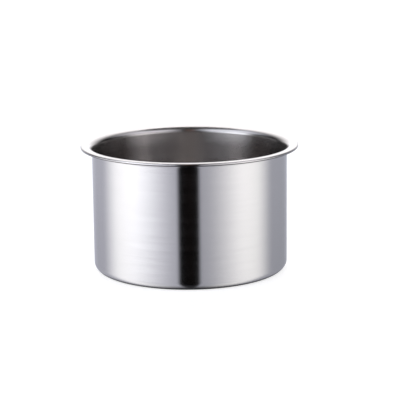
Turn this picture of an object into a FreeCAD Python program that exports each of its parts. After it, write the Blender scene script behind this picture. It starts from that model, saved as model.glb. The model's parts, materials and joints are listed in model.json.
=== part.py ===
import FreeCAD, Part
import math
import os

# Lift-out inset pot of a soup kettle, deep-drawn from one steel sheet.
# All lengths are in millimetres. The pot stands on z = 0 around the Z axis.

sheet = 0.8
body_diameter = 240.0
height = 156.0
flange_diameter = 268.0

base_corner_radius = 10.0
shoulder_radius = 8.0
edge_roll_radius = 1.8
edge_return = 2.4

body_radius = body_diameter / 2
flange_radius = flange_diameter / 2


class Outline:
    """A closed outline in the plane y = 0, drawn point by point as radius and height."""

    def __init__(self, radius, up):
        self.start = FreeCAD.Vector(radius, 0, up)
        self.point = self.start
        self.edges = []

    def line_to(self, radius, up):
        end = FreeCAD.Vector(radius, 0, up)
        self.edges.append(Part.makeLine(self.point, end))
        self.point = end

    def arc_to(self, radius, up, centre_radius, centre_up):
        """A quarter turn or a half turn about a centre, passing its outward middle."""
        end = FreeCAD.Vector(radius, 0, up)
        centre = FreeCAD.Vector(centre_radius, 0, centre_up)
        first = self.point - centre
        last = end - centre
        middle = first + last
        if middle.Length < 1e-6:
            middle = FreeCAD.Vector(1, 0, 0)
        middle = centre + middle.normalize() * first.Length
        self.edges.append(Part.Arc(self.point, middle, end).toShape())
        self.point = end

    def face(self):
        self.line_to(self.start.x, self.start.z)
        return Part.Face(Part.Wire(self.edges))


def sheet_section():
    """Half section of the sheet: up the outside, round the rolled edge, back down the inside."""
    inner_radius = body_radius - sheet
    corner_centre = body_radius - base_corner_radius
    shoulder_centre = inner_radius + shoulder_radius
    shoulder_up = height - shoulder_radius
    roll_centre = flange_radius - edge_roll_radius
    roll_up = height - edge_roll_radius
    edge_end = roll_centre - edge_return
    edge_bottom = height - 2 * edge_roll_radius

    section = Outline(0, 0)
    # Outside: base, corner, wall, and the hollow under the shoulder.
    section.line_to(corner_centre, 0)
    section.arc_to(body_radius, base_corner_radius, corner_centre, base_corner_radius)
    section.line_to(body_radius, shoulder_up)
    section.arc_to(shoulder_centre, height - sheet, shoulder_centre, shoulder_up)
    # Underside of the flange and the edge turned under it.
    section.line_to(roll_centre, height - sheet)
    section.arc_to(roll_centre, edge_bottom + sheet, roll_centre, roll_up)
    section.line_to(edge_end, edge_bottom + sheet)
    section.line_to(edge_end, edge_bottom)
    section.line_to(roll_centre, edge_bottom)
    section.arc_to(roll_centre, height, roll_centre, roll_up)
    # Top of the flange, shoulder, and the inside down to the floor.
    section.line_to(shoulder_centre, height)
    section.arc_to(inner_radius, shoulder_up, shoulder_centre, shoulder_up)
    section.line_to(inner_radius, base_corner_radius)
    section.arc_to(corner_centre, sheet, corner_centre, base_corner_radius)
    section.line_to(0, sheet)
    return section.face()


def inset_pot():
    section = sheet_section()
    pot = section.revolve(FreeCAD.Vector(0, 0, 0), FreeCAD.Vector(0, 0, 1), 360)
    return Part.Solid(pot) if pot.ShapeType != "Solid" else pot


pot = inset_pot()
brimful = math.pi * (body_radius - sheet) ** 2 * (height - sheet) / 1e6
print("valid", pot.isValid(), "solids", len(pot.Solids), "faces", len(pot.Faces))
print("box", pot.optimalBoundingBox(False, False))
print("steel cm3", round(pot.Volume / 1000, 1), "litres about", round(brimful, 2))

os.makedirs("parts", exist_ok=True)
pot.exportStep("parts/inset_pot.step")
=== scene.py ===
import json
import math

import bpy
from mathutils import Matrix, Vector


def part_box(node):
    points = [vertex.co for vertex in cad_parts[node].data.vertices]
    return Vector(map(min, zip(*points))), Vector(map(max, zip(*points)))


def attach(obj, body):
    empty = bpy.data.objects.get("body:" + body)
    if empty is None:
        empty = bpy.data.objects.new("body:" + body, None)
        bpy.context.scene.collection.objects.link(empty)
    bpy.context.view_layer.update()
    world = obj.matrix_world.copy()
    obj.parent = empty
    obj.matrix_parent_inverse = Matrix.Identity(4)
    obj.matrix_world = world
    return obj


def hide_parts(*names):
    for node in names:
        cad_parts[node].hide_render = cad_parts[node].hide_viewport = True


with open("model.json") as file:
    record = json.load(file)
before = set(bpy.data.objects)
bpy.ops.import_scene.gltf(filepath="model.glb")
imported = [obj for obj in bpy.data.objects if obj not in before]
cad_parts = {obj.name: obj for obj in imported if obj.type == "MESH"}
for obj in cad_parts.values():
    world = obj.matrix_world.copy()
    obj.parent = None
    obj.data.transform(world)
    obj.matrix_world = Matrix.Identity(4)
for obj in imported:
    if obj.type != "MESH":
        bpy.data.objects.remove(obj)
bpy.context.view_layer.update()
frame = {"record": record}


def rgb(red, green, blue):
    return (red, green, blue, 1.0)


def grey(level):
    return rgb(level, level, level)


# Sizes, in metres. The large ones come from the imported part.
NODE = "inset_pot"
MOUNTS = {mount["name"]: mount for mount in frame["record"]["mounts"]}
BODY = MOUNTS["body_outside"]["dims"]
TOP_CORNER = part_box(NODE)[1]
HEIGHT = TOP_CORNER.z
FLANGE_RADIUS = TOP_CORNER.x
BODY_RADIUS = BODY["r_mm"] / 1000
WALL_LENGTH = BODY["length_mm"] / 1000
SEAT_HEIGHT = MOUNTS["flange_seat"]["pos_m"][2]
ROLL_RADIUS = (HEIGHT - SEAT_HEIGHT) / 2
SHEET = 0.0008
CORNER_RADIUS = 0.010
SHOULDER_RADIUS = HEIGHT - CORNER_RADIUS - WALL_LENGTH
EDGE_RETURN = 0.0024
FLOOR_RADIUS = 4.0

# Steps round the axis in a turned mesh, and directions in a section as (radius, height).
AROUND = 288
UP = (0, 1)
DOWN = (0, -1)
OUT = (1, 0)
IN = (-1, 0)

# Steel, as linear colours, and its brushing: noise units per metre of section, and depth in metres.
STEEL_DARK = rgb(0.561, 0.537, 0.526)
STEEL_PALE = rgb(0.589, 0.565, 0.554)
# Painted shade, not a colour of the steel: the dark underside of the rolled edge.
PAINTED_EDGE_SHADE = rgb(0.16, 0.15, 0.145)
BRUSH_RATE = 700.0
BRUSH_DEPTH = 0.6e-6
FINE_SHARE = 0.7
RING_DULLNESS = 0.05

# Studio light, as linear colours, where 1 is the white of the background.
BLACK = grey(0)
WHITE = grey(1)
TABLE_LEFT = rgb(0.75, 0.78, 0.90)
TABLE_RIGHT = rgb(0.60, 0.63, 0.72)
TABLE_BEHIND = rgb(0.16, 0.16, 0.18)
LOW_LEFT = rgb(1.70, 1.74, 1.70)
LOW_RIGHT = rgb(0.96, 0.97, 0.92)
STRIP_LEFT = rgb(3.0, 3.15, 3.4)
STRIP_RIGHT = rgb(2.0, 1.95, 2.0)
HIGH_LEFT = rgb(1.43, 1.5, 1.68)
HIGH_RIGHT = rgb(1.15, 1.15, 1.25)
WARM_WALL = rgb(0.17, 0.12, 0.11)
BACKDROP = rgb(2.1, 2.1, 2.15)
CEILING = grey(0.09)

# The floor's own white, what it lets through close to the pot, and how far the pot's shade reaches.
FLOOR_MATT = grey(0.6)
FLOOR_GLOW = 0.72
UNDER_CORNER = grey(0.03)
BESIDE_WALL = grey(0.86)
SHADE_REACH = 0.75


class Profile:
    """Points of the sheet's section as (radius, height, normal radius, normal height)."""

    def __init__(self):
        self.points = []

    def add(self, r, z, nr, nz):
        last = self.points[-1] if self.points else None
        if last and math.hypot(last[0] - r, last[1] - z) < 1e-7:
            return
        self.points.append((r, z, nr, nz))

    def line(self, start, end, normal, steps):
        for i in range(steps + 1):
            share = i / steps
            r = start[0] + (end[0] - start[0]) * share
            z = start[1] + (end[1] - start[1]) * share
            self.add(r, z, *normal)

    def arc(self, centre, radius, start, end, steps, outward=1):
        """From angle start to end, in degrees from +r; outward is -1 on the hollow side of a bend."""
        for i in range(steps + 1):
            angle = math.radians(start + (end - start) * i / steps)
            c, s = math.cos(angle), math.sin(angle)
            self.add(centre[0] + radius * c, centre[1] + radius * s, outward * c, outward * s)


def pot_profile():
    """Up the outside, round the rolled edge, and back down the inside."""
    inner = BODY_RADIUS - SHEET
    corner = (BODY_RADIUS - CORNER_RADIUS, CORNER_RADIUS)
    shoulder = (inner + SHOULDER_RADIUS, HEIGHT - SHOULDER_RADIUS)
    roll = (FLANGE_RADIUS - ROLL_RADIUS, HEIGHT - ROLL_RADIUS)
    under = HEIGHT - SHEET
    edge = roll[0] - EDGE_RETURN + SHEET / 2

    section = Profile()
    section.line((0, 0), (corner[0], 0), DOWN, steps=6)
    section.arc(corner, CORNER_RADIUS, -90, 0, steps=18)
    section.line((BODY_RADIUS, corner[1]), (BODY_RADIUS, shoulder[1]), OUT, steps=24)
    section.arc(shoulder, SHOULDER_RADIUS - SHEET, 180, 90, steps=12, outward=-1)
    section.line((shoulder[0], under), (roll[0], under), DOWN, steps=4)
    section.arc(roll, ROLL_RADIUS - SHEET, 90, -90, steps=14, outward=-1)
    section.line((roll[0], SEAT_HEIGHT + SHEET), (edge, SEAT_HEIGHT + SHEET), UP, steps=3)
    section.arc((edge, SEAT_HEIGHT + SHEET / 2), SHEET / 2, 90, 270, steps=8)
    section.line((edge, SEAT_HEIGHT), (roll[0], SEAT_HEIGHT), DOWN, steps=3)
    section.arc(roll, ROLL_RADIUS, -90, 90, steps=24)
    section.line((roll[0], HEIGHT), (shoulder[0], HEIGHT), UP, steps=5)
    section.arc(shoulder, SHOULDER_RADIUS, 90, 180, steps=18)
    section.line((inner, shoulder[1]), (inner, corner[1]), IN, steps=24)
    section.arc(corner, CORNER_RADIUS - SHEET, 0, -90, steps=18, outward=-1)
    section.line((corner[0], SHEET), (0, SHEET), UP, steps=6)
    return section.points


def turned_mesh(name, points):
    """A closed body of revolution whose first and last points lie on the axis."""
    ring = points[1:-1]
    verts = [(0, 0, points[0][1])]
    normals = [(0, 0, points[0][3])]
    for r, z, nr, nz in ring:
        for j in range(AROUND):
            angle = 2 * math.pi * j / AROUND
            c, s = math.cos(angle), math.sin(angle)
            verts.append((r * c, r * s, z))
            normals.append((nr * c, nr * s, nz))
    verts.append((0, 0, points[-1][1]))
    normals.append((0, 0, points[-1][3]))
    last_vert = len(verts) - 1
    last_row = len(ring) - 1

    def at(i, j):
        return 1 + i * AROUND + j % AROUND

    faces = []
    for j in range(AROUND):
        faces.append((0, at(0, j + 1), at(0, j)))
    for i in range(last_row):
        for j in range(AROUND):
            faces.append((at(i, j), at(i, j + 1), at(i + 1, j + 1), at(i + 1, j)))
    for j in range(AROUND):
        faces.append((at(last_row, j), at(last_row, j + 1), last_vert))

    mesh = bpy.data.meshes.new(name)
    mesh.from_pydata(verts, [], faces)
    mesh.polygons.foreach_set("use_smooth", [True] * len(mesh.polygons))
    mesh.normals_split_custom_set_from_vertices(normals)
    mesh.update()
    return mesh


class Nodes:
    """Short forms for building a node tree."""

    def __init__(self, tree):
        self.tree = tree
        tree.nodes.clear()

    def make(self, kind, **settings):
        node = self.tree.nodes.new(kind)
        for key, value in settings.items():
            setattr(node, key, value)
        return node

    def put(self, value, socket):
        if isinstance(value, bpy.types.NodeSocket):
            self.tree.links.new(value, socket)
        else:
            socket.default_value = value

    def maths(self, operation, a, b=0.0):
        node = self.make("ShaderNodeMath", operation=operation)
        self.put(a, node.inputs[0])
        self.put(b, node.inputs[1])
        return node.outputs[0]

    def plus(self, a, b):
        return self.maths("ADD", a, b)

    def times(self, a, b):
        return self.maths("MULTIPLY", a, b)

    def ramp(self, value, start, end, low=0.0, high=1.0, kind="SMOOTHSTEP"):
        """low before start, high after end, and a smooth or other kind of slope between."""
        node = self.make("ShaderNodeMapRange", interpolation_type=kind)
        self.put(value, node.inputs["Value"])
        self.put(start, node.inputs["From Min"])
        self.put(end, node.inputs["From Max"])
        self.put(low, node.inputs["To Min"])
        self.put(high, node.inputs["To Max"])
        return node.outputs[0]

    def fall(self, value, start, end):
        """One before start and nothing after end."""
        return self.ramp(value, start, end, low=1.0, high=0.0)

    def band(self, value, start, full, fade, end):
        """A rise from start to full times a fall from fade to end."""
        return self.times(self.ramp(value, start, full), self.fall(value, fade, end))

    def split(self, vector):
        node = self.make("ShaderNodeSeparateXYZ")
        self.put(vector, node.inputs[0])
        return node.outputs

    def mix(self, share, a, b, kind="MIX"):
        """A share of the colour b mixed into a, or added to it where kind says so."""
        node = self.make("ShaderNodeMix", data_type="RGBA", blend_type=kind)
        self.put(share, node.inputs[0])
        self.put(a, node.inputs[6])
        self.put(b, node.inputs[7])
        return node.outputs[2]

    def choose(self, share, a, b):
        """The shader a, or b where share is one."""
        node = self.make("ShaderNodeMixShader")
        self.put(share, node.inputs[0])
        self.put(a, node.inputs[1])
        self.put(b, node.inputs[2])
        return node.outputs[0]

    def noise(self, vector, scale, detail):
        node = self.make("ShaderNodeTexNoise")
        self.put(vector, node.inputs["Vector"])
        self.put(scale, node.inputs["Scale"])
        self.put(detail, node.inputs["Detail"])
        return node.outputs["Fac"]


def brush_space(nodes, x, y, z, radius):
    """Where brush marks lie: they change fast along the section and slowly round the axis."""
    not_zero = nodes.maths("MAXIMUM", radius, 0.001)
    along = nodes.plus(radius, z)
    space = nodes.make("ShaderNodeCombineXYZ")
    nodes.put(nodes.maths("DIVIDE", x, not_zero), space.inputs["X"])
    nodes.put(nodes.maths("DIVIDE", y, not_zero), space.inputs["Y"])
    nodes.put(nodes.times(along, BRUSH_RATE), space.inputs["Z"])
    return space.outputs[0]


def inside_share(nodes, place):
    """One on the inside of the wall, which faces the axis, and nothing on its outside."""
    facing = nodes.make("ShaderNodeVectorMath", operation="DOT_PRODUCT")
    nodes.put(place, facing.inputs[0])
    nodes.put(nodes.make("ShaderNodeNewGeometry").outputs["True Normal"], facing.inputs[1])
    return nodes.fall(facing.outputs["Value"], 0.02, 0.05)


def brushed_steel():
    """Satin stainless steel, brushed round the pot's axis."""
    material = bpy.data.materials.new("satin_steel")
    material.use_nodes = True
    nodes = Nodes(material.node_tree)
    place = nodes.make("ShaderNodeTexCoord").outputs["Object"]
    x, y, z = nodes.split(place)
    radius = nodes.maths("SQRT", nodes.plus(nodes.times(x, x), nodes.times(y, y)))
    marks = brush_space(nodes, x, y, z, radius)
    fine = nodes.noise(marks, scale=2.4, detail=3.0)
    broad = nodes.noise(marks, scale=0.22, detail=2.0)
    cloud = nodes.noise(place, scale=14.0, detail=2.0)

    grain = nodes.plus(nodes.times(fine, FINE_SHARE), nodes.times(broad, 1 - FINE_SHARE))
    colour = nodes.mix(nodes.ramp(grain, 0.3, 0.7), STEEL_DARK, STEEL_PALE)
    # Painted shade: the underside of the turned-under edge is coloured dark, standing in for the shadow
    # line under the roll.
    painted_shade_top = SEAT_HEIGHT + 0.0010
    painted_shade_gone = SEAT_HEIGHT + 0.0018
    painted_shade_start = FLANGE_RADIUS - 0.006
    painted_shade_full = FLANGE_RADIUS - 0.005
    painted_edge_shade = nodes.times(nodes.fall(z, painted_shade_top, painted_shade_gone), nodes.ramp(radius, painted_shade_start, painted_shade_full))
    colour = nodes.mix(painted_edge_shade, colour, PAINTED_EDGE_SHADE)

    # Broad bands are duller, and so is a ring inside, where the brush stops under the shoulder.
    rough = nodes.ramp(fine, 0.25, 0.75, low=0.172, high=0.188)
    rough = nodes.plus(rough, nodes.ramp(broad, 0.45, 0.7, low=-0.004, high=0.014))
    rough = nodes.plus(rough, nodes.ramp(cloud, 0.3, 0.7, low=-0.004, high=0.004))
    ring = nodes.band(z, HEIGHT - 0.026, HEIGHT - 0.010, HEIGHT - 0.009, HEIGHT - 0.004)
    ring = nodes.times(ring, inside_share(nodes, place))
    rough = nodes.plus(rough, nodes.times(ring, RING_DULLNESS))

    bump = nodes.make("ShaderNodeBump")
    nodes.put(0.5, bump.inputs["Strength"])
    nodes.put(BRUSH_DEPTH, bump.inputs["Distance"])
    nodes.put(fine, bump.inputs["Height"])
    round_axis = nodes.make("ShaderNodeTangent", direction_type="RADIAL", axis="Z")

    shader = nodes.make("ShaderNodeBsdfPrincipled")
    nodes.put(colour, shader.inputs["Base Color"])
    nodes.put(1.0, shader.inputs["Metallic"])
    nodes.put(grey(0.78), shader.inputs["Specular Tint"])
    nodes.put(rough, shader.inputs["Roughness"])
    nodes.put(1.0, shader.inputs["Anisotropic"])
    nodes.put(0.25, shader.inputs["Anisotropic Rotation"])
    nodes.put(round_axis.outputs[0], shader.inputs["Tangent"])
    nodes.put(bump.outputs[0], shader.inputs["Normal"])
    nodes.put(shader.outputs[0], nodes.make("ShaderNodeOutputMaterial").inputs["Surface"])
    return material


def studio_world():
    """Soft panels on both sides, a dark gap where the camera stands, and a bright backdrop."""
    world = bpy.data.worlds.new("studio")
    world.use_nodes = True
    bpy.context.scene.world = world
    nodes = Nodes(world.node_tree)

    # Degrees to the right of the camera and above the horizon, as seen from the pot.
    x, y, z = nodes.split(nodes.make("ShaderNodeTexCoord").outputs["Generated"])
    right = nodes.maths("DEGREES", nodes.maths("ARCTAN2", x, nodes.times(y, -1.0)))
    left = nodes.times(right, -1.0)
    away = nodes.maths("ABSOLUTE", right)
    rise = nodes.maths("DEGREES", nodes.maths("ARCSINE", z))

    def add_panel(light, colour, across, upright):
        return nodes.mix(nodes.times(across, upright), light, colour, "ADD")

    # Under the horizon lie the table, its far end and two low panels.
    table = nodes.mix(nodes.ramp(right, -30, 30), TABLE_LEFT, TABLE_RIGHT)
    light = nodes.mix(nodes.ramp(rise, 0, 3), table, BLACK)
    low = nodes.fall(rise, 3, 6)
    light = add_panel(light, TABLE_BEHIND, nodes.ramp(away, 140, 175), low)
    light = add_panel(light, LOW_LEFT, nodes.band(left, 10, 130, 80, 127), low)
    light = add_panel(light, LOW_RIGHT, nodes.band(right, 12, 79, 82, 115), low)

    # A strip and a high panel stand on each side.
    strip = nodes.band(rise, -13.5, 13, 16, 22)
    light = add_panel(light, STRIP_LEFT, nodes.band(left, 10, 58, 64, 89), strip)
    light = add_panel(light, STRIP_RIGHT, nodes.band(right, -5, 75, 55, 91), strip)
    high = nodes.times(nodes.band(rise, 17, 34, 52, 61), nodes.band(away, 0, 38, 65, 144))
    light = add_panel(light, HIGH_LEFT, high, nodes.fall(right, -0.5, 0.5))
    light = add_panel(light, HIGH_RIGHT, high, nodes.ramp(right, -0.5, 0.5))

    # The gap is dark from the ground to a little above the horizon, and so is straight down.
    middle = nodes.maths("ABSOLUTE", nodes.plus(right, 1.6))
    gap = nodes.times(nodes.fall(middle, 9.5, 15.5), nodes.fall(rise, 4, 9))
    gap = nodes.times(gap, nodes.ramp(rise, -80, -40, low=0.8, high=1.0))
    light = nodes.mix(gap, light, BLACK)
    light = nodes.mix(nodes.fall(rise, -95, -45), light, BLACK)

    # Above the gap is a dim warm wall, behind the pot the backdrop, and overhead a dim ceiling.
    warm_upright = nodes.band(rise, 15, 22, 48, 60)
    light = add_panel(light, WARM_WALL, nodes.fall(middle, 3, 10), warm_upright)
    behind = nodes.ramp(nodes.plus(away, nodes.times(rise, 0.42)), 131, 191)
    light = add_panel(light, BACKDROP, behind, nodes.band(rise, -1.5, 4.5, 59, 64))
    light = add_panel(light, CEILING, nodes.ramp(rise, 58, 75), 1.0)

    # The camera sees a plain white background.
    seen = nodes.make("ShaderNodeLightPath").outputs["Is Camera Ray"]
    background = nodes.make("ShaderNodeBackground")
    nodes.put(nodes.mix(seen, light, WHITE), background.inputs["Color"])
    nodes.put(background.outputs[0], nodes.make("ShaderNodeOutputWorld").inputs["Surface"])


def floor_mesh():
    """A flat ring, open under the pot's flat base."""
    verts, faces = [], []
    for j in range(AROUND):
        angle = 2 * math.pi * j / AROUND
        for radius in (BODY_RADIUS - CORNER_RADIUS, FLOOR_RADIUS):
            verts.append((radius * math.cos(angle), radius * math.sin(angle), 0))
        here = 2 * j
        after = 2 * ((j + 1) % AROUND)
        faces.append((here, here + 1, after + 1, after))
    mesh = bpy.data.meshes.new("floor")
    mesh.from_pydata(verts, [], faces)
    return mesh


def floor_white():
    """White that takes the pot's shadow and lets the low panels show in the steel."""
    material = bpy.data.materials.new("floor_white")
    material.use_nodes = True
    nodes = Nodes(material.node_tree)
    path = nodes.make("ShaderNodeLightPath").outputs

    matt = nodes.make("ShaderNodeBsdfDiffuse")
    nodes.put(FLOOR_MATT, matt.inputs["Color"])
    glow = nodes.make("ShaderNodeEmission")
    nodes.put(nodes.times(path["Is Camera Ray"], FLOOR_GLOW), glow.inputs["Strength"])
    white = nodes.make("ShaderNodeAddShader")
    nodes.put(matt.outputs[0], white.inputs[0])
    nodes.put(glow.outputs[0], white.inputs[1])

    # Reflections and light from below pass through, dimmed where the pot shades the floor.
    distance = nodes.make("ShaderNodeVectorMath", operation="LENGTH")
    nodes.put(nodes.make("ShaderNodeTexCoord").outputs["Object"], distance.inputs[0])
    distance = distance.outputs["Value"]
    corner_shade = BODY_RADIUS - 0.006
    clear_of_wall = BODY_RADIUS + 0.0005
    near = nodes.mix(nodes.ramp(distance, corner_shade, clear_of_wall), UNDER_CORNER, BESIDE_WALL)
    far = nodes.ramp(distance, BODY_RADIUS, SHADE_REACH, kind="LINEAR")
    shade = nodes.make("ShaderNodeBsdfTransparent")
    nodes.put(nodes.mix(far, near, WHITE), shade.inputs["Color"])
    passing = nodes.maths("MAXIMUM", path["Is Glossy Ray"], path["Is Shadow Ray"])
    above = nodes.choose(passing, white.outputs[0], shade.outputs[0])

    # Seen from underneath, the floor is clear.
    clear = nodes.make("ShaderNodeBsdfTransparent")
    under = nodes.make("ShaderNodeNewGeometry").outputs["Backfacing"]
    surface = nodes.choose(under, above, clear.outputs[0])
    nodes.put(surface, nodes.make("ShaderNodeOutputMaterial").inputs["Surface"])
    return material


def pale_floor():
    """Puts the floor in the scene, as no part of the object."""
    floor = bpy.data.objects.new("floor", floor_mesh())
    bpy.context.scene.collection.objects.link(floor)
    floor.data.materials.append(floor_white())


def photo_camera():
    """Camera at the photograph's angle, turned a little so that the pot sits left of the middle."""
    # In pixels of the photograph: its side, the focal length, and where the pot's middle lies.
    picture = 409.0
    focal = 1602.0
    pot_across = 190.08
    pot_down = 205.03
    distance = 16.58 * BODY_RADIUS
    rise = math.radians(12.56)
    roll = math.radians(-0.673)

    target = Vector((0, 0, HEIGHT / 2))
    ahead = Vector((0, math.cos(rise), -math.sin(rise)))
    level = Vector((1, 0, 0))
    upright = level.cross(ahead)
    right = math.cos(roll) * level + math.sin(roll) * upright
    up = math.cos(roll) * upright - math.sin(roll) * level
    turn = Matrix((right, up, -ahead)).transposed()
    across = (pot_across - picture / 2) / focal
    down = (pot_down - picture / 2) / focal
    seen = Vector((across, -down, -1.0)).normalized()
    aim = seen.rotation_difference(Vector((0, 0, -1))).to_matrix()

    data = bpy.data.cameras.new("camera")
    data.sensor_width = 36.0
    data.lens = focal / picture * data.sensor_width
    data.clip_end = 50.0
    camera = bpy.data.objects.new("camera", data)
    camera.matrix_world = Matrix.Translation(target - ahead * distance) @ (turn @ aim).to_4x4()
    bpy.context.scene.collection.objects.link(camera)
    bpy.context.scene.camera = camera


pot = bpy.data.objects.new("steel_pot", turned_mesh("steel_pot", pot_profile()))
bpy.context.scene.collection.objects.link(pot)
pot.data.materials.append(brushed_steel())
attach(pot, "root")
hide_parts(NODE)

studio_world()
pale_floor()
photo_camera()

scene = bpy.context.scene
scene.view_settings.view_transform = "Standard"
# Light goes to and fro inside the pot, and limiting its brightest samples keeps the steel smooth there.
scene.cycles.glossy_bounces = 12
scene.cycles.sample_clamp_indirect = 0.5
